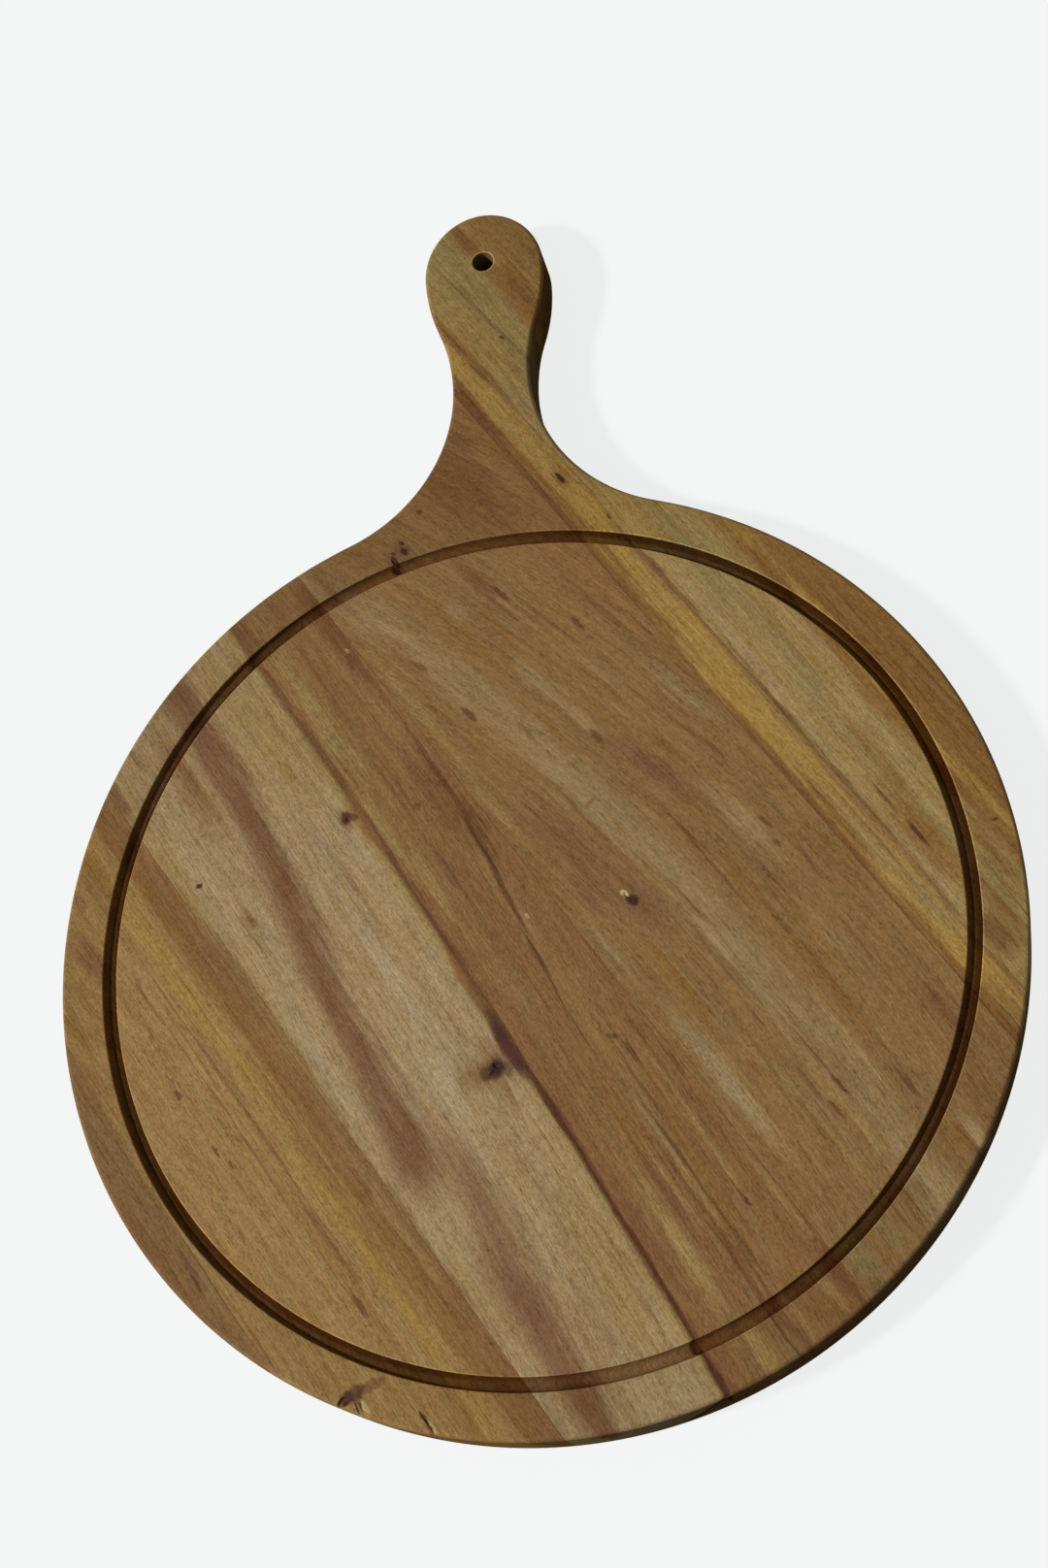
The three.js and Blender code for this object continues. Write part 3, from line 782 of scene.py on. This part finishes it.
def grain_layer(tree, place, along, across, seed):
    """Noise drawn out along the grain and centred on 0, with its length and width in millimetres."""
    stretched = add_node(tree, "ShaderNodeMapping", {
        "Vector": place, "Location": (seed, seed, seed), "Scale": (1 / along, 1 / across, 1 / across)})
    noise = add_node(tree, "ShaderNodeTexNoise", {
        "Vector": stretched, "Scale": 1.0, "Detail": NOISE_DETAIL, "Roughness": NOISE_ROUGHNESS})
    return add_node(tree, "ShaderNodeMath", {0: noise, 1: 0.5}, operation="SUBTRACT")


def add_layers(tree, value, layers, shares):
    """Adds layers of the grain to a value, each times its share."""
    for name, share in shares.items():
        value = add_node(tree, "ShaderNodeMath", {
            0: layers[name], 1: share, 2: value}, operation="MULTIPLY_ADD")
    return value


def lay_bands(tree, figure, across, tints):
    """The main tints across the stave."""
    bands = sorted(figure.bands)
    low, high = bands[0][0], bands[-1][0]
    share = add_node(tree, "ShaderNodeMapRange", {"Value": across, "From Min": low, "From Max": high})
    stops = [((place - low) / (high - low), getattr(tints, name)) for place, name in bands]
    return add_node(tree, "ShaderNodeValToRGB", {"Fac": share}, stops=stops)


def lay_vein(tree, colour, place, s, across, tints):
    """The thin dark line between heartwood and sapwood, which gets stronger along the grain."""
    aside = add_node(tree, "ShaderNodeMath", {0: across, 1: place}, operation="SUBTRACT")
    apart = add_node(tree, "ShaderNodeMath", {0: aside}, operation="ABSOLUTE")
    line = add_node(tree, "ShaderNodeMapRange", {
        "Value": apart, "From Min": VEIN_CORE, "From Max": VEIN_END, "To Min": 1.0, "To Max": 0.0})
    strength = add_node(tree, "ShaderNodeMapRange", {
        "Value": s, "From Min": VEIN_PALE_AT, "From Max": VEIN_DARK_AT,
        "To Min": VEIN_PALE, "To Max": VEIN_DARK})
    share = add_node(tree, "ShaderNodeMath", {0: line, 1: strength}, operation="MULTIPLY")
    return add_node(tree, "ShaderNodeMix", {
        MIX_FACTOR: share, MIX_A: colour, MIX_B: (*tints.vein, 1)}, out=MIX_RESULT, data_type="RGBA")


def lay_streak(tree, colour, streak, places, tints, top):
    """Lays one oval of a tint over the colour, through the top half of the board. Small marks have hard
    ends, and clouds have the softest."""
    if streak.length < SMALL_MARK:
        place, fade = places["ragged"], MARK_FADE
    elif streak.width < BROAD_STREAK:
        place, fade = places["thin"], STREAK_FADE
    elif streak.width < CLOUD:
        place, fade = places["broad"], STREAK_FADE
    else:
        place, fade = places["broad"], CLOUD_FADE
    oval = add_node(tree, "ShaderNodeMapping", {
        "Vector": place, "Location": (streak.s, streak.q, top), "Rotation": (0, 0, math.radians(streak.tilt)),
        "Scale": (streak.length / 2, streak.width / 2, top)}, vector_type="TEXTURE")
    nearness = add_node(tree, "ShaderNodeTexGradient", {"Vector": oval}, out="Fac", gradient_type="SPHERICAL")
    share = add_node(tree, "ShaderNodeMapRange", {
        "Value": nearness, "From Max": fade, "To Max": streak.strength}, interpolation_type="SMOOTHSTEP")
    return add_node(tree, "ShaderNodeMix", {
        MIX_FACTOR: share, MIX_A: colour, MIX_B: (*getattr(tints, streak.tint), 1)},
        out=MIX_RESULT, data_type="RGBA")


def scorch_and_shade_groove(tree, colour, flat, radius, depth, sizes):
    """Pales the groove's lips with a painted highlight and darkens the rest with scorch and painted shade."""
    half_groove = sizes.groove_width / 2 / MM
    middle = (sizes.round_radius - sizes.rim_width) / MM - half_groove
    off_middle = add_node(tree, "ShaderNodeMath", {0: radius, 1: middle}, operation="SUBTRACT")
    outward = add_node(tree, "ShaderNodeVectorMath", {0: flat}, operation="NORMALIZE")
    light_way = (math.cos(GROOVE_LIGHT_WAY), math.sin(GROOVE_LIGHT_WAY), 0)
    outward_with_light = add_node(tree, "ShaderNodeVectorMath", {
        0: outward, 1: light_way}, out="Value", operation="DOT_PRODUCT")

    # Painted shade: from the wall in the lamp's shadow at 0 to the wall that the lamp lights at 1, painted
    # darkest
    lit_wall = add_node(tree, "ShaderNodeMath", {0: off_middle, 1: outward_with_light}, operation="MULTIPLY")
    lit_wall = add_node(tree, "ShaderNodeMapRange", {
        "Value": lit_wall, "From Min": -half_groove, "From Max": half_groove})
    scorch_and_shade = add_node(tree, "ShaderNodeValToRGB", {"Fac": lit_wall}, stops=GROOVE_SCORCH_AND_SHADE)
    # Where the groove runs with the light, one even tone of scorch and painted shade
    turn = add_node(tree, "ShaderNodeMath", {0: outward_with_light}, operation="ABSOLUTE")
    turn = add_node(tree, "ShaderNodeMapRange", {
        "Value": turn, "From Min": WITH_LIGHT_FULL, "From Max": WITH_LIGHT_GONE, "To Min": 1.0, "To Max": 0.0})
    scorch_and_shade = add_node(tree, "ShaderNodeMix", {
        MIX_FACTOR: turn, MIX_A: scorch_and_shade, MIX_B: (*GROOVE_WITH_LIGHT, 1)}, out=MIX_RESULT, data_type="RGBA")

    # Bare lips with a painted highlight, then scorch with painted shade below them
    bare_lip_and_highlight = add_node(tree, "ShaderNodeMapRange", {
        "Value": depth, "From Min": LIP_STARTS, "From Max": LIP_FULL, "To Min": 1.0, "To Max": BARE_LIP_AND_HIGHLIGHT})
    below_lip = add_node(tree, "ShaderNodeMapRange", {
        "Value": depth, "From Min": SCORCH_STARTS, "From Max": SCORCH_FULL})
    routed = add_node(tree, "ShaderNodeMix", {
        MIX_FACTOR: below_lip, MIX_A: bare_lip_and_highlight, MIX_B: scorch_and_shade}, out=MIX_RESULT, data_type="RGBA")
    routed = add_node(tree, "ShaderNodeVectorMath", {0: colour, 1: routed}, operation="MULTIPLY")

    apart = add_node(tree, "ShaderNodeMath", {0: off_middle}, operation="ABSOLUTE")
    beside = add_node(tree, "ShaderNodeMath", {0: apart, 1: 2 * half_groove}, operation="LESS_THAN")
    near_top = add_node(tree, "ShaderNodeMath", {
        0: depth, 1: 2 * sizes.groove_depth / MM}, operation="LESS_THAN")
    in_groove = add_node(tree, "ShaderNodeMath", {0: beside, 1: near_top}, operation="MULTIPLY")
    return add_node(tree, "ShaderNodeMix", {
        MIX_FACTOR: in_groove, MIX_A: colour, MIX_B: routed}, out=MIX_RESULT, data_type="RGBA")


def paint_bore_shade_and_highlight(tree, colour, place, sizes, tints):
    """Paints shade into the bore and a pale highlight in a ring round its mouth."""
    bore = Vector((0, cad_box[1].y - sizes.hole_to_tip, 0))
    radius = sizes.hole_diameter / 2
    ease = sizes.hole_ease
    aside = add_node(tree, "ShaderNodeVectorMath", {0: place, 1: bore}, operation="SUBTRACT")
    aside = add_node(tree, "ShaderNodeVectorMath", {0: aside, 1: (1, 1, 0)}, operation="MULTIPLY")
    apart = add_node(tree, "ShaderNodeVectorMath", {0: aside}, out="Value", operation="LENGTH")
    for name, full, gone in BORE_SHADE_AND_HIGHLIGHT:
        share = add_node(tree, "ShaderNodeMapRange", {
            "Value": apart, "From Min": radius + full * ease, "From Max": radius + gone * ease,
            "To Min": BORE_STRENGTH, "To Max": 0.0})
        colour = add_node(tree, "ShaderNodeMix", {
            MIX_FACTOR: share, MIX_A: colour, MIX_B: (*getattr(tints, name), 1)},
            out=MIX_RESULT, data_type="RGBA")
    return colour


def darken_rim(tree, colour, radius, z, sizes):
    """Makes the rim a little darker from the groove outwards, down to the edge that lies on the table."""
    groove = (sizes.round_radius - sizes.rim_width - sizes.groove_width / 2) / MM
    rim = add_node(tree, "ShaderNodeMapRange", {
        "Value": radius, "From Min": groove, "From Max": groove + RIM_START})
    off_table = add_node(tree, "ShaderNodeMapRange", {
        "Value": z, "From Min": TABLE_EDGE, "From Max": sizes.edge_radius / MM})
    share = add_node(tree, "ShaderNodeMath", {0: rim, 1: off_table}, operation="MULTIPLY")
    darker = add_node(tree, "ShaderNodeVectorMath", {0: colour, 1: RIM_TONE}, operation="MULTIPLY")
    return add_node(tree, "ShaderNodeMix", {
        MIX_FACTOR: share, MIX_A: colour, MIX_B: darker}, out=MIX_RESULT, data_type="RGBA")


def oiled_acacia(name, figure, sizes, tints):
    """Oiled acacia: brown heartwood and pale sapwood in bands along the stave, broken by fine dark
    grain lines and short pores, with a soft sheen that never turns to gloss."""
    material = bpy.data.materials.new(name)
    tree = clear_nodes(material)
    top = sizes.thickness / MM

    # Millimetres along the grain, across it and up, and outwards from the centre of the round
    object_place = add_node(tree, "ShaderNodeTexCoord", out="Object")
    board = add_node(tree, "ShaderNodeMapping", {
        "Vector": object_place, "Rotation": (0, 0, math.pi / 2 - sizes.grain_angle), "Scale": (1 / MM,) * 3})
    s, q, z = add_node(tree, "ShaderNodeSeparateXYZ", {0: board}, out=slice(None))
    flat = add_node(tree, "ShaderNodeVectorMath", {
        0: object_place, 1: (1 / MM, 1 / MM, 0)}, operation="MULTIPLY")
    radius = add_node(tree, "ShaderNodeVectorMath", {0: flat}, out="Value", operation="LENGTH")

    # The grain drifts across the stave, and its rings lean through the thickness
    slope, bend = figure.flow
    drift_rate = add_node(tree, "ShaderNodeMath", {0: s, 1: bend, 2: slope}, operation="MULTIPLY_ADD")
    drift = add_node(tree, "ShaderNodeMath", {0: s, 1: drift_rate}, operation="MULTIPLY")
    straight = add_node(tree, "ShaderNodeMath", {0: q, 1: drift}, operation="SUBTRACT")
    depth = add_node(tree, "ShaderNodeMath", {0: top, 1: z}, operation="SUBTRACT")
    ring = add_node(tree, "ShaderNodeMath", {
        0: depth, 1: figure.rings, 2: straight}, operation="MULTIPLY_ADD")
    grain_place = add_node(tree, "ShaderNodeCombineXYZ", {0: s, 1: ring, 2: z})
    layers = {
        layer: grain_layer(tree, grain_place, along, across, figure.seed * turn)
        for turn, (layer, (along, across)) in enumerate(GRAIN_LAYERS.items(), start=1)}

    # Bands, then the vein, then the streaks in their order
    band_push = PUSH_BANDS if figure.vein is None else PUSH_BANDS_AT_VEIN
    band_place = add_layers(tree, ring, layers, band_push)
    colour = lay_bands(tree, figure, band_place, tints)
    if figure.vein is not None:
        colour = lay_vein(tree, colour, figure.vein, s, band_place, tints)
    pushed = {
        "thin": (s, add_layers(tree, q, layers, PUSH_THIN)),
        "broad": (s, add_layers(tree, q, layers, PUSH_BROAD)),
        "ragged": (add_layers(tree, s, layers, PUSH_RAGGED_ALONG), add_layers(tree, q, layers, PUSH_RAGGED)),
    }
    places = {
        kind: add_node(tree, "ShaderNodeCombineXYZ", {0: along, 1: across, 2: z})
        for kind, (along, across) in pushed.items()}
    for row in figure.streaks:
        colour = lay_streak(tree, colour, Streak(*row), places, tints, top)

    # Lighter and darker grain over everything, and pores as short dark dashes
    pore = add_node(tree, "ShaderNodeMapRange", {
        "Value": layers["pores"], "From Min": PORE_STARTS, "From Max": PORE_FULL,
        "To Min": 0.0, "To Max": PORE_SHADE})
    tone = add_layers(tree, pore, layers, TONE_SHARES)
    shift = add_node(tree, "ShaderNodeVectorMath", {
        0: tone, 1: TONE_COLOUR, 2: (1, 1, 1)}, operation="MULTIPLY_ADD")
    shift = add_node(tree, "ShaderNodeVectorMath", {
        0: layers["warmth"], 1: WARMTH_COLOUR, 2: shift}, operation="MULTIPLY_ADD")
    colour = add_node(tree, "ShaderNodeVectorMath", {0: colour, 1: shift}, operation="MULTIPLY")
    colour = scorch_and_shade_groove(tree, colour, flat, radius, depth, sizes)
    colour = paint_bore_shade_and_highlight(tree, colour, object_place, sizes, tints)
    colour = darken_rim(tree, colour, radius, z, sizes)

    # The face has a sheen. The sawn sides and the groove have none
    sheen = add_node(tree, "ShaderNodeMapRange", {
        "Value": depth, "From Min": SHEEN_FULL, "From Max": SHEEN_GONE, "To Min": FACE_SHEEN, "To Max": 0.0})
    roughness = add_node(tree, "ShaderNodeMapRange", {
        "Value": layers["middle"], "From Min": -GRAIN_SWING, "From Max": GRAIN_SWING,
        "To Min": DULL, "To Max": SMOOTH})
    height = add_node(tree, "ShaderNodeMath", {0: layers["speckle"], 1: pore}, operation="ADD")
    bump = add_node(tree, "ShaderNodeBump", {
        "Height": height, "Strength": BUMP_STRENGTH, "Distance": BUMP_HEIGHT})
    shader = add_node(tree, "ShaderNodeBsdfPrincipled", {
        "Base Color": colour, "Roughness": roughness, "Normal": bump,
        "IOR": OIL_IOR, "Specular IOR Level": sheen})
    add_node(tree, "ShaderNodeOutputMaterial", {"Surface": shader})
    return material


def cured_glue(tints):
    """Cured wood glue: dark and dull, seen only as a hairline between two staves."""
    material = bpy.data.materials.new("cured wood glue")
    tree = clear_nodes(material)
    place = add_node(tree, "ShaderNodeTexCoord", out="Object")
    mottle = add_node(tree, "ShaderNodeTexNoise", {
        "Vector": place, "Scale": 1 / GLUE_MOTTLE, "Detail": NOISE_DETAIL})
    colour = add_node(tree, "ShaderNodeMix", {
        MIX_FACTOR: mottle, MIX_A: (*tints.glue, 1), MIX_B: (*tints.line, 1)},
        out=MIX_RESULT, data_type="RGBA")
    shader = add_node(tree, "ShaderNodeBsdfPrincipled", {
        "Base Color": colour, "Roughness": GLUE_ROUGHNESS, "IOR": GLUE_IOR, "Specular IOR Level": GLUE_SHEEN})
    add_node(tree, "ShaderNodeOutputMaterial", {"Surface": shader})
    return material


class SERVINGBOARD_OT_staves(bpy.types.Operator):
    """Rip the panel into its four staves and give each its own oiled wood"""

    bl_idname = "serving_board.staves"
    bl_label = "Staves"

    def execute(self, context):
        sizes = context.scene.serving_board_sizes
        tints = context.scene.serving_board_tints
        panel = bpy.data.objects["panel"]
        handle, middle, outer = joint_places(sizes)
        reach = cad_box[1].y * 2
        half_glue = sizes.glue_thickness / 2
        staves = (
            ("handle_stave", handle, reach, HANDLE_FIGURE),
            ("upper_stave", middle, handle, UPPER_FIGURE),
            ("lower_stave", outer, middle, LOWER_FIGURE),
            ("outer_stave", -reach, outer, OUTER_FIGURE),
        )
        for node, low, high, figure in staves:
            stave = ripped(panel, "finished_" + node, low + half_glue, high - half_glue, sizes)
            wood = oiled_acacia("oiled acacia, " + node.replace("_", " "), figure, sizes, tints)
            stave.data.materials.clear()
            stave.data.materials.append(wood)
            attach(stave, "root")
            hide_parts(node)
        return {"FINISHED"}


class SERVINGBOARD_OT_glue_lines(bpy.types.Operator):
    """Make the three glue lines between the staves, and use up the panel"""

    bl_idname = "serving_board.glue_lines"
    bl_label = "Glue lines"

    def execute(self, context):
        sizes = context.scene.serving_board_sizes
        panel = bpy.data.objects["panel"]
        half_glue = sizes.glue_thickness / 2
        glue = cured_glue(context.scene.serving_board_tints)
        nodes = ("handle_glue_line", "middle_glue_line", "outer_glue_line")
        for node, place in zip(nodes, joint_places(sizes)):
            film = ripped(panel, "cured_" + node, place - half_glue, place + half_glue, sizes)
            film.data.materials.clear()
            film.data.materials.append(glue)
            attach(film, "root")
            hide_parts(node)
        bpy.data.objects.remove(panel)
        return {"FINISHED"}


# The camera stands above and to the right of the round's near edge, and looks down past its centre
CAMERA_PLACE = (0.13985, -0.24797, 0.76889)
CAMERA_TURN = tuple(math.radians(angle) for angle in (20.9054, 11.7937, -3.6442))
CAMERA_SENSOR = 36.0
CAMERA_LENS = 54.853

# One key lamp to the left of the board, low enough to shade the groove and the right-hand edge
KEY_AZIMUTH = math.radians(192)
KEY_ELEVATION = math.radians(42)
KEY_TURN = (0, math.pi / 2 - KEY_ELEVATION, KEY_AZIMUTH)
KEY_STRENGTH = 3.81
KEY_SPREAD = math.radians(6)
SKY_STRENGTH = 0.19

# What the camera sees behind the board, and what the floor gives back to the camera and to the board
BACKDROP = linear("#f3f6f5")
FLOOR_GLOW = 0.9
FLOOR_DULL = 0.1
FLOOR_SIDE = 8.0
FLOOR_GAP = 0.1 * MM


def seen_directly(tree):
    """1 for what the camera sees, straight or in a glossy or clear surface, and 0 for other light."""
    seen = add_node(tree, "ShaderNodeLightPath", out="Is Camera Ray")
    for ray in ("Is Glossy Ray", "Is Transmission Ray"):
        also = add_node(tree, "ShaderNodeLightPath", out=ray)
        seen = add_node(tree, "ShaderNodeMath", {0: seen, 1: also}, operation="MAXIMUM")
    return seen


def lay_floor():
    """A pale floor that shows the board's shadow to the camera and throws little light back on its edges."""
    bpy.ops.object.select_all(action="DESELECT")
    bpy.ops.mesh.primitive_plane_add(size=FLOOR_SIDE, location=(0, 0, -FLOOR_GAP))
    floor = bpy.context.object
    floor.name = "floor"
    material = bpy.data.materials.new("matt pale paper")
    tree = clear_nodes(material)
    lit = add_node(tree, "ShaderNodeBsdfDiffuse", {"Color": (*(c * (1 - FLOOR_GLOW) for c in BACKDROP), 1)})
    glow = add_node(tree, "ShaderNodeEmission", {"Color": (*BACKDROP, 1), "Strength": FLOOR_GLOW})
    shown = add_node(tree, "ShaderNodeAddShader", {0: lit, 1: glow})
    dull = add_node(tree, "ShaderNodeBsdfDiffuse", {"Color": (FLOOR_DULL, FLOOR_DULL, FLOOR_DULL, 1)})
    surface = add_node(tree, "ShaderNodeMixShader", {0: seen_directly(tree), 1: dull, 2: shown})
    add_node(tree, "ShaderNodeOutputMaterial", {"Surface": surface})
    floor.data.materials.append(material)


def light_world(scene):
    """An even sky that fills the shadows, and a pale backdrop where the camera sees past the floor."""
    scene.world = bpy.data.worlds.new("studio")
    tree = clear_nodes(scene.world)
    sky = add_node(tree, "ShaderNodeBackground", {"Color": (1, 1, 1, 1), "Strength": SKY_STRENGTH})
    backdrop = add_node(tree, "ShaderNodeBackground", {"Color": (*BACKDROP, 1), "Strength": 1.0})
    surface = add_node(tree, "ShaderNodeMixShader", {0: seen_directly(tree), 1: sky, 2: backdrop})
    add_node(tree, "ShaderNodeOutputWorld", {"Surface": surface})


class SERVINGBOARD_OT_stage(bpy.types.Operator):
    """Lay the pale floor, hang the lamp and set the camera"""

    bl_idname = "serving_board.stage"
    bl_label = "Stage"

    def execute(self, context):
        scene = context.scene
        scene.view_settings.view_transform = "Standard"
        lay_floor()
        light_world(scene)

        bpy.ops.object.light_add(type="SUN", rotation=KEY_TURN)
        key = bpy.context.object.data
        key.energy = KEY_STRENGTH
        key.angle = KEY_SPREAD

        bpy.ops.object.camera_add(location=CAMERA_PLACE, rotation=CAMERA_TURN)
        camera = bpy.context.object
        camera.data.lens = CAMERA_LENS
        camera.data.sensor_width = CAMERA_SENSOR
        scene.camera = camera
        return {"FINISHED"}


OPERATORS = (
    SERVINGBOARD_OT_panel,
    SERVINGBOARD_OT_staves,
    SERVINGBOARD_OT_glue_lines,
    SERVINGBOARD_OT_stage,
)


class SERVINGBOARD_PT_sidebar(bpy.types.Panel):
    """The steps that make the board, and the sizes and colours that they use"""

    bl_idname = "SERVINGBOARD_PT_sidebar"
    bl_label = "Serving Board"
    bl_space_type = "VIEW_3D"
    bl_region_type = "UI"
    bl_category = "Serving Board"

    def draw(self, context):
        column = self.layout.column()
        for operator in OPERATORS:
            column.operator(operator.bl_idname)
        for group in (context.scene.serving_board_sizes, context.scene.serving_board_tints):
            for name in group.__annotations__:
                column.prop(group, name)


CLASSES = (ServingBoardSizes, ServingBoardTints, *OPERATORS, SERVINGBOARD_PT_sidebar)


def register():
    for cls in CLASSES:
        bpy.utils.register_class(cls)
    bpy.types.Scene.serving_board_sizes = bpy.props.PointerProperty(type=ServingBoardSizes)
    bpy.types.Scene.serving_board_tints = bpy.props.PointerProperty(type=ServingBoardTints)


def unregister():
    del bpy.types.Scene.serving_board_tints
    del bpy.types.Scene.serving_board_sizes
    for cls in reversed(CLASSES):
        bpy.utils.unregister_class(cls)


def main():
    register()
    bpy.ops.serving_board.panel()
    bpy.ops.serving_board.staves()
    bpy.ops.serving_board.glue_lines()
    bpy.ops.serving_board.stage()


if __name__ == "__main__":
    main()
